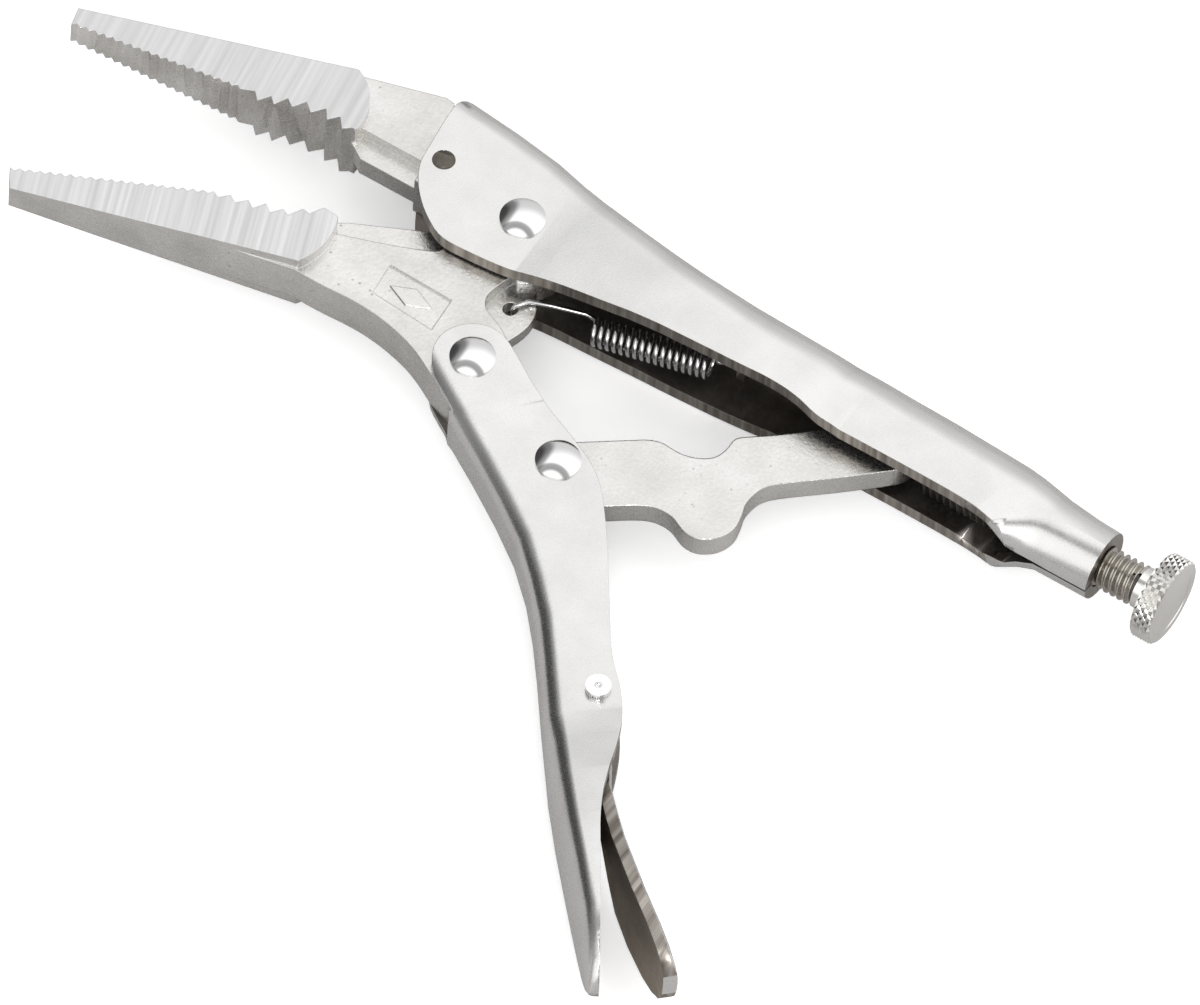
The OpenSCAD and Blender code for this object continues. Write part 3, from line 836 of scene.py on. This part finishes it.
@dataclass
class TensionSpring:
    """Close-wound wire spring between the lower jaw's tab and the upper handle."""

    wire: float = 0.6
    outside: float = 4.0
    coils: int = 17
    steps: int = 22
    start: tuple[float, float] = (15.0, -6.4)
    end: tuple[float, float] = (30.4, -2.5)
    stretch: tuple[tuple[float, float], tuple[float, float]] = ((6.0, -9.0), (32.0, -1.5))
    front: list[tuple[float, float, float]] = field(default_factory=lambda: [
        (4.7, -9.7, -1.6), (4.75, -10.1, -0.6), (4.75, -10.1, 0.6), (5.2, -9.6, 1.6),
        (6.3, -8.2, 1.7), (9.0, -6.8, 1.3), (13.0, -4.9, 0.4)])
    rear: list[tuple[float, float, float]] = field(default_factory=lambda: [
        (31.0, -1.7, 0.3), (32.2, -0.9, 0.0), (33.0, -0.1, 0.0), (35.6, 0.0, 0.0), (36.0, 0.7, 0.3),
        (35.5, 1.4, 0.3)])

    def path(self) -> list[Vector]:
        """The middle line of the wire, hook to hook, in metres."""
        a, b = Vector(self.start), Vector(self.end)
        along = (b - a).normalized()
        across = Vector((-along.y, along.x))
        radius = (self.outside - self.wire) / 2
        points = [at(*p) for p in self.front]
        total = self.coils * self.steps
        for i in range(total + 1):
            turn = math.tau * i / self.steps
            flat = a + (b - a) * (i / total) + across * radius * math.cos(turn)
            points.append(at(flat.x, flat.y, radius * math.sin(turn)))
        return points + [at(*p) for p in self.rear]

    def build(self) -> bpy.types.Object:
        """Winds the wire from hook to hook, placed about the main pivot.

        Returns:
            The finished spring.
        """
        curve = bpy.data.curves.new("tension_spring_piece", "CURVE")
        curve.dimensions = "3D"
        curve.bevel_depth = self.wire / 2 * MM
        curve.bevel_resolution = 3
        curve.use_fill_caps = True
        spline = curve.splines.new("POLY")
        points = self.path()
        spline.points.add(len(points) - 1)
        for knot, place in zip(spline.points, points):
            knot.co = (*place, 1.0)
        piece = bpy.data.objects.new("tension_spring_piece", curve)
        bpy.context.scene.collection.objects.link(piece)
        activate(piece)
        bpy.ops.object.convert(target="MESH")
        piece = bpy.context.object
        bpy.ops.object.shade_smooth()
        piece.data.materials.append(WIRE.build())
        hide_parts("tension_spring")
        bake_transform(piece)
        log.info("%s: %d coils", piece.name, self.coils)
        return piece


# ---------- table, light and camera ----------


@dataclass
class Studio:
    """Pale table, soft light from a bright room and a long-lens camera above the tool."""

    azimuth: float = math.radians(28.763)
    elevation: float = math.radians(55.838)
    roll: float = math.radians(4.212)
    width: float = 153.56
    lens: float = 1200.0
    sensor: float = 36.0
    bright_side: tuple[float, float, float] = (0.45, -0.45, 0.77)
    boom: tuple[float, float, float] = (0.10, -0.75, 0.65)
    boom_shade: tuple[tuple[float, float], ...] = (
        (0.5, 1.0), (0.62, 0.35), (0.76, 0.3), (0.86, 1.0))
    dark_side: tuple[float, float, float] = (-0.98, 0.1, 0.17)
    dark_shade: tuple[tuple[float, float], ...] = ((0.62, 1.0), (0.8, 0.3), (0.93, 0.08))
    light_steps: tuple[tuple[float, float], ...] = (
        (0.25, 0.58), (0.36, 0.54), (0.48, 0.62), (0.58, 0.84), (0.68, 0.98), (0.8, 1.0))

    def axes(self) -> tuple[Vector, Vector, Vector]:
        """The camera's right, up and back directions."""
        a, e, r = self.azimuth, self.elevation, self.roll
        level = Vector((math.cos(a), math.sin(a), 0.0))
        rise = Vector((-math.sin(a) * math.sin(e), math.cos(a) * math.sin(e), math.cos(e)))
        back = Vector((math.sin(a) * math.cos(e), -math.cos(a) * math.cos(e), math.sin(e)))
        right = level * math.cos(r) + rise * math.sin(r)
        up = rise * math.cos(r) - level * math.sin(r)
        return right, up, back

    def camera(self) -> None:
        """Aims a long-lens camera at the tool."""
        right, up, back = self.axes()
        data = bpy.data.cameras.new("camera")
        data.lens = self.lens
        data.sensor_width = self.sensor
        data.clip_end = 10.0
        aim = at(0.0, 0.0, 5.5) + right * 9.9 * MM - up * 36.324 * MM
        camera = bpy.data.objects.new("camera", data)
        turn = Matrix((right, up, back)).transposed().to_4x4()
        place = aim + back * self.width * self.lens / self.sensor * MM
        camera.matrix_world = Matrix.Translation(place) @ turn
        bpy.context.scene.collection.objects.link(camera)
        bpy.context.scene.camera = camera

    def floor(self) -> None:
        """Lays a wide pale table top under the tool. It glows for camera rays, painted light that
        washes out the tool's cast shadow, and glossy rays see it darker, a painted dark reflection
        in the tool's metal.
        """
        deselect()
        bpy.ops.mesh.primitive_plane_add(size=6.0, location=(0, 0, -0.0002))
        table = bpy.context.object
        table.name = "table_top"
        material = bpy.data.materials.new("pale_table")
        material.use_nodes = True
        nodes, links = material.node_tree.nodes, material.node_tree.links
        shader = nodes["Principled BSDF"]
        shader.inputs["Roughness"].default_value = 0.9
        shader.inputs["Specular IOR Level"].default_value = 0.1
        place = nodes.new("ShaderNodeTexCoord")
        grain = nodes.new("ShaderNodeTexNoise")
        grain.inputs["Scale"].default_value = 40.0
        tint = nodes.new("ShaderNodeValToRGB")
        tint.color_ramp.elements[0].color = (0.93, 0.93, 0.93, 1.0)
        tint.color_ramp.elements[1].color = (0.95, 0.95, 0.95, 1.0)
        ray = nodes.new("ShaderNodeLightPath")
        # Glossy rays see the table in a darker grey: a painted dark reflection in the tool's metal.
        dim = nodes.new("ShaderNodeMix")
        dim.data_type = "RGBA"
        dim.inputs["B"].default_value = (0.56, 0.55, 0.545, 1.0)
        links.new(place.outputs["Object"], grain.inputs["Vector"])
        links.new(grain.outputs["Fac"], tint.inputs["Fac"])
        links.new(tint.outputs["Color"], dim.inputs["A"])
        links.new(ray.outputs["Is Glossy Ray"], dim.inputs["Factor"])
        links.new(dim.outputs["Result"], shader.inputs["Base Color"])
        # Only camera rays see the table glow: painted light over the tool's cast shadow.
        glow = nodes.new("ShaderNodeMapRange")
        glow.inputs["To Max"].default_value = 0.4
        links.new(ray.outputs["Is Camera Ray"], glow.inputs["Value"])
        shader.inputs["Emission Color"].default_value = (1.0, 1.0, 1.0, 1.0)
        links.new(glow.outputs["Result"], shader.inputs["Emission Strength"])
        table.data.materials.append(material)

    def room(self) -> None:
        """Fills the room with soft light, brightest at the front right.

        A dim band crosses the front, and the left side is darker still.
        """
        world = bpy.data.worlds.new("room")
        bpy.context.scene.world = world
        world.use_nodes = True
        nodes, links = world.node_tree.nodes, world.node_tree.links
        background = nodes["Background"]
        background.inputs["Strength"].default_value = 1.35
        place = nodes.new("ShaderNodeTexCoord")
        lean = nodes.new("ShaderNodeVectorMath")
        lean.operation = "DOT_PRODUCT"
        lean.inputs[1].default_value = self.bright_side
        links.new(place.outputs["Generated"], lean.inputs[0])
        shift = nodes.new("ShaderNodeMapRange")
        shift.inputs["From Min"].default_value = -1.0
        shift.inputs["From Max"].default_value = 1.0
        links.new(lean.outputs["Value"], shift.inputs["Value"])
        ramp = nodes.new("ShaderNodeValToRGB")
        ramp.color_ramp.interpolation = "B_SPLINE"
        ends = ramp.color_ramp.elements
        ends[0].position, ends[1].position = 0.0, 1.0
        for position, light in self.light_steps:
            ends.new(position).color = (light, light, light, 1.0)
        ends[0].color = (0.3, 0.3, 0.3, 1.0)
        ends[-1].color = (1.0, 1.0, 1.0, 1.0)
        links.new(shift.outputs["Result"], ramp.inputs["Fac"])
        light = ramp.outputs["Color"]
        for direction, steps in ((self.boom, self.boom_shade), (self.dark_side, self.dark_shade)):
            toward = nodes.new("ShaderNodeVectorMath")
            toward.operation = "DOT_PRODUCT"
            toward.inputs[1].default_value = direction
            links.new(place.outputs["Generated"], toward.inputs[0])
            shade = nodes.new("ShaderNodeValToRGB")
            shade.color_ramp.interpolation = "EASE"
            stops = shade.color_ramp.elements
            stops.remove(stops[1])
            for position, share in steps:
                stops.new(position).color = (share, share, share, 1.0)
            stops[0].color = (1.0, 1.0, 1.0, 1.0)
            links.new(toward.outputs["Value"], shade.inputs["Fac"])
            cover = nodes.new("ShaderNodeVectorMath")
            cover.operation = "MULTIPLY"
            links.new(light, cover.inputs[0])
            links.new(shade.outputs["Color"], cover.inputs[1])
            light = cover.outputs["Vector"]
        links.new(light, background.inputs["Color"])

    def lamp(self, name: str, place: tuple[float, float, float], size: float, power: float) -> None:
        """Adds one round soft lamp that faces the tool.

        Args:
            name: The lamp's name.
            place: Where it hangs, in metres.
            size: Its width across in metres.
            power: Its power in watts.
        """
        data = bpy.data.lights.new(name, "AREA")
        data.shape = "DISK"
        data.size = size
        data.energy = power
        lamp = bpy.data.objects.new(name, data)
        lamp.location = place
        lamp.rotation_euler = (-Vector(place)).to_track_quat("-Z", "Y").to_euler()
        bpy.context.scene.collection.objects.link(lamp)

    def build(self) -> None:
        """Sets up the floor, the room, the lamp and the camera."""
        bpy.context.scene.view_settings.view_transform = "Standard"
        self.floor()
        self.room()
        self.lamp("soft_box_front", (0.9, -1.3, 1.1), 0.5, 9.0)
        self.camera()


def build_pliers() -> list[bpy.types.Object]:
    """Builds every piece of the tool, from the upper handle to the spring.

    Returns:
        The finished pieces.
    """
    plate = [SATIN, SATIN_PAINTED_SHADE, SHEARED]
    lever = [SATIN, LEVER_PAINTED_SHADE, SHEARED]
    upper_jaw = [FORGED, GROUND_UPPER, TOOTH]
    lower_jaw = [FORGED, GROUND_LOWER, TOOTH]
    builders = [
        UpperHandle("upper_handle", "upper_handle", "nickel_plate", plate),
        Jaw("upper_jaw", "upper_handle", "forged_steel", upper_jaw, 20.0, True),
        FramePiece("upper_jaw_pin", "upper_handle", "dark_pin", [DARK_PIN]),
        Jaw("lower_jaw", "lower_jaw", "forged_steel", lower_jaw, 20.0, True,
            upper=False, step=-32.5, teeth_end=-19.8, teeth_line=-29.0),
        LowerHandle("lower_handle", "lower_handle", "nickel_plate", plate),
        FramePiece("toggle_link", "toggle_link", "link_steel", [STAMPED], 18.0, True),
        Lever("release_lever", "release_lever", "nickel_plate", lever),
        FramePiece("release_rivet", "lower_handle", "polished_rivet", [MIRROR]),
        DomedRivet("pivot_rivet", "upper_handle", MAIN, cheek=5.5),
        DomedRivet("lower_jaw_rivet", "lower_handle", PIVOTS["grip"], cheek=5.0),
        DomedRivet("link_rivet", "lower_handle", PIVOTS["link_pivot"], cheek=4.7),
        AdjustingScrew(),
        AdjustingKnob(),
        TensionSpring(),
    ]
    return [builder.build() for builder in builders]


def main() -> None:
    """Builds the finishes, the tool and the studio."""
    logging.basicConfig(level=logging.INFO, format="%(name)s: %(message)s")
    plated_grain_group()
    streak_group()
    pieces = build_pliers()
    Studio().build()
    log.info("%d pieces", len(pieces))


if __name__ == "__main__":
    main()
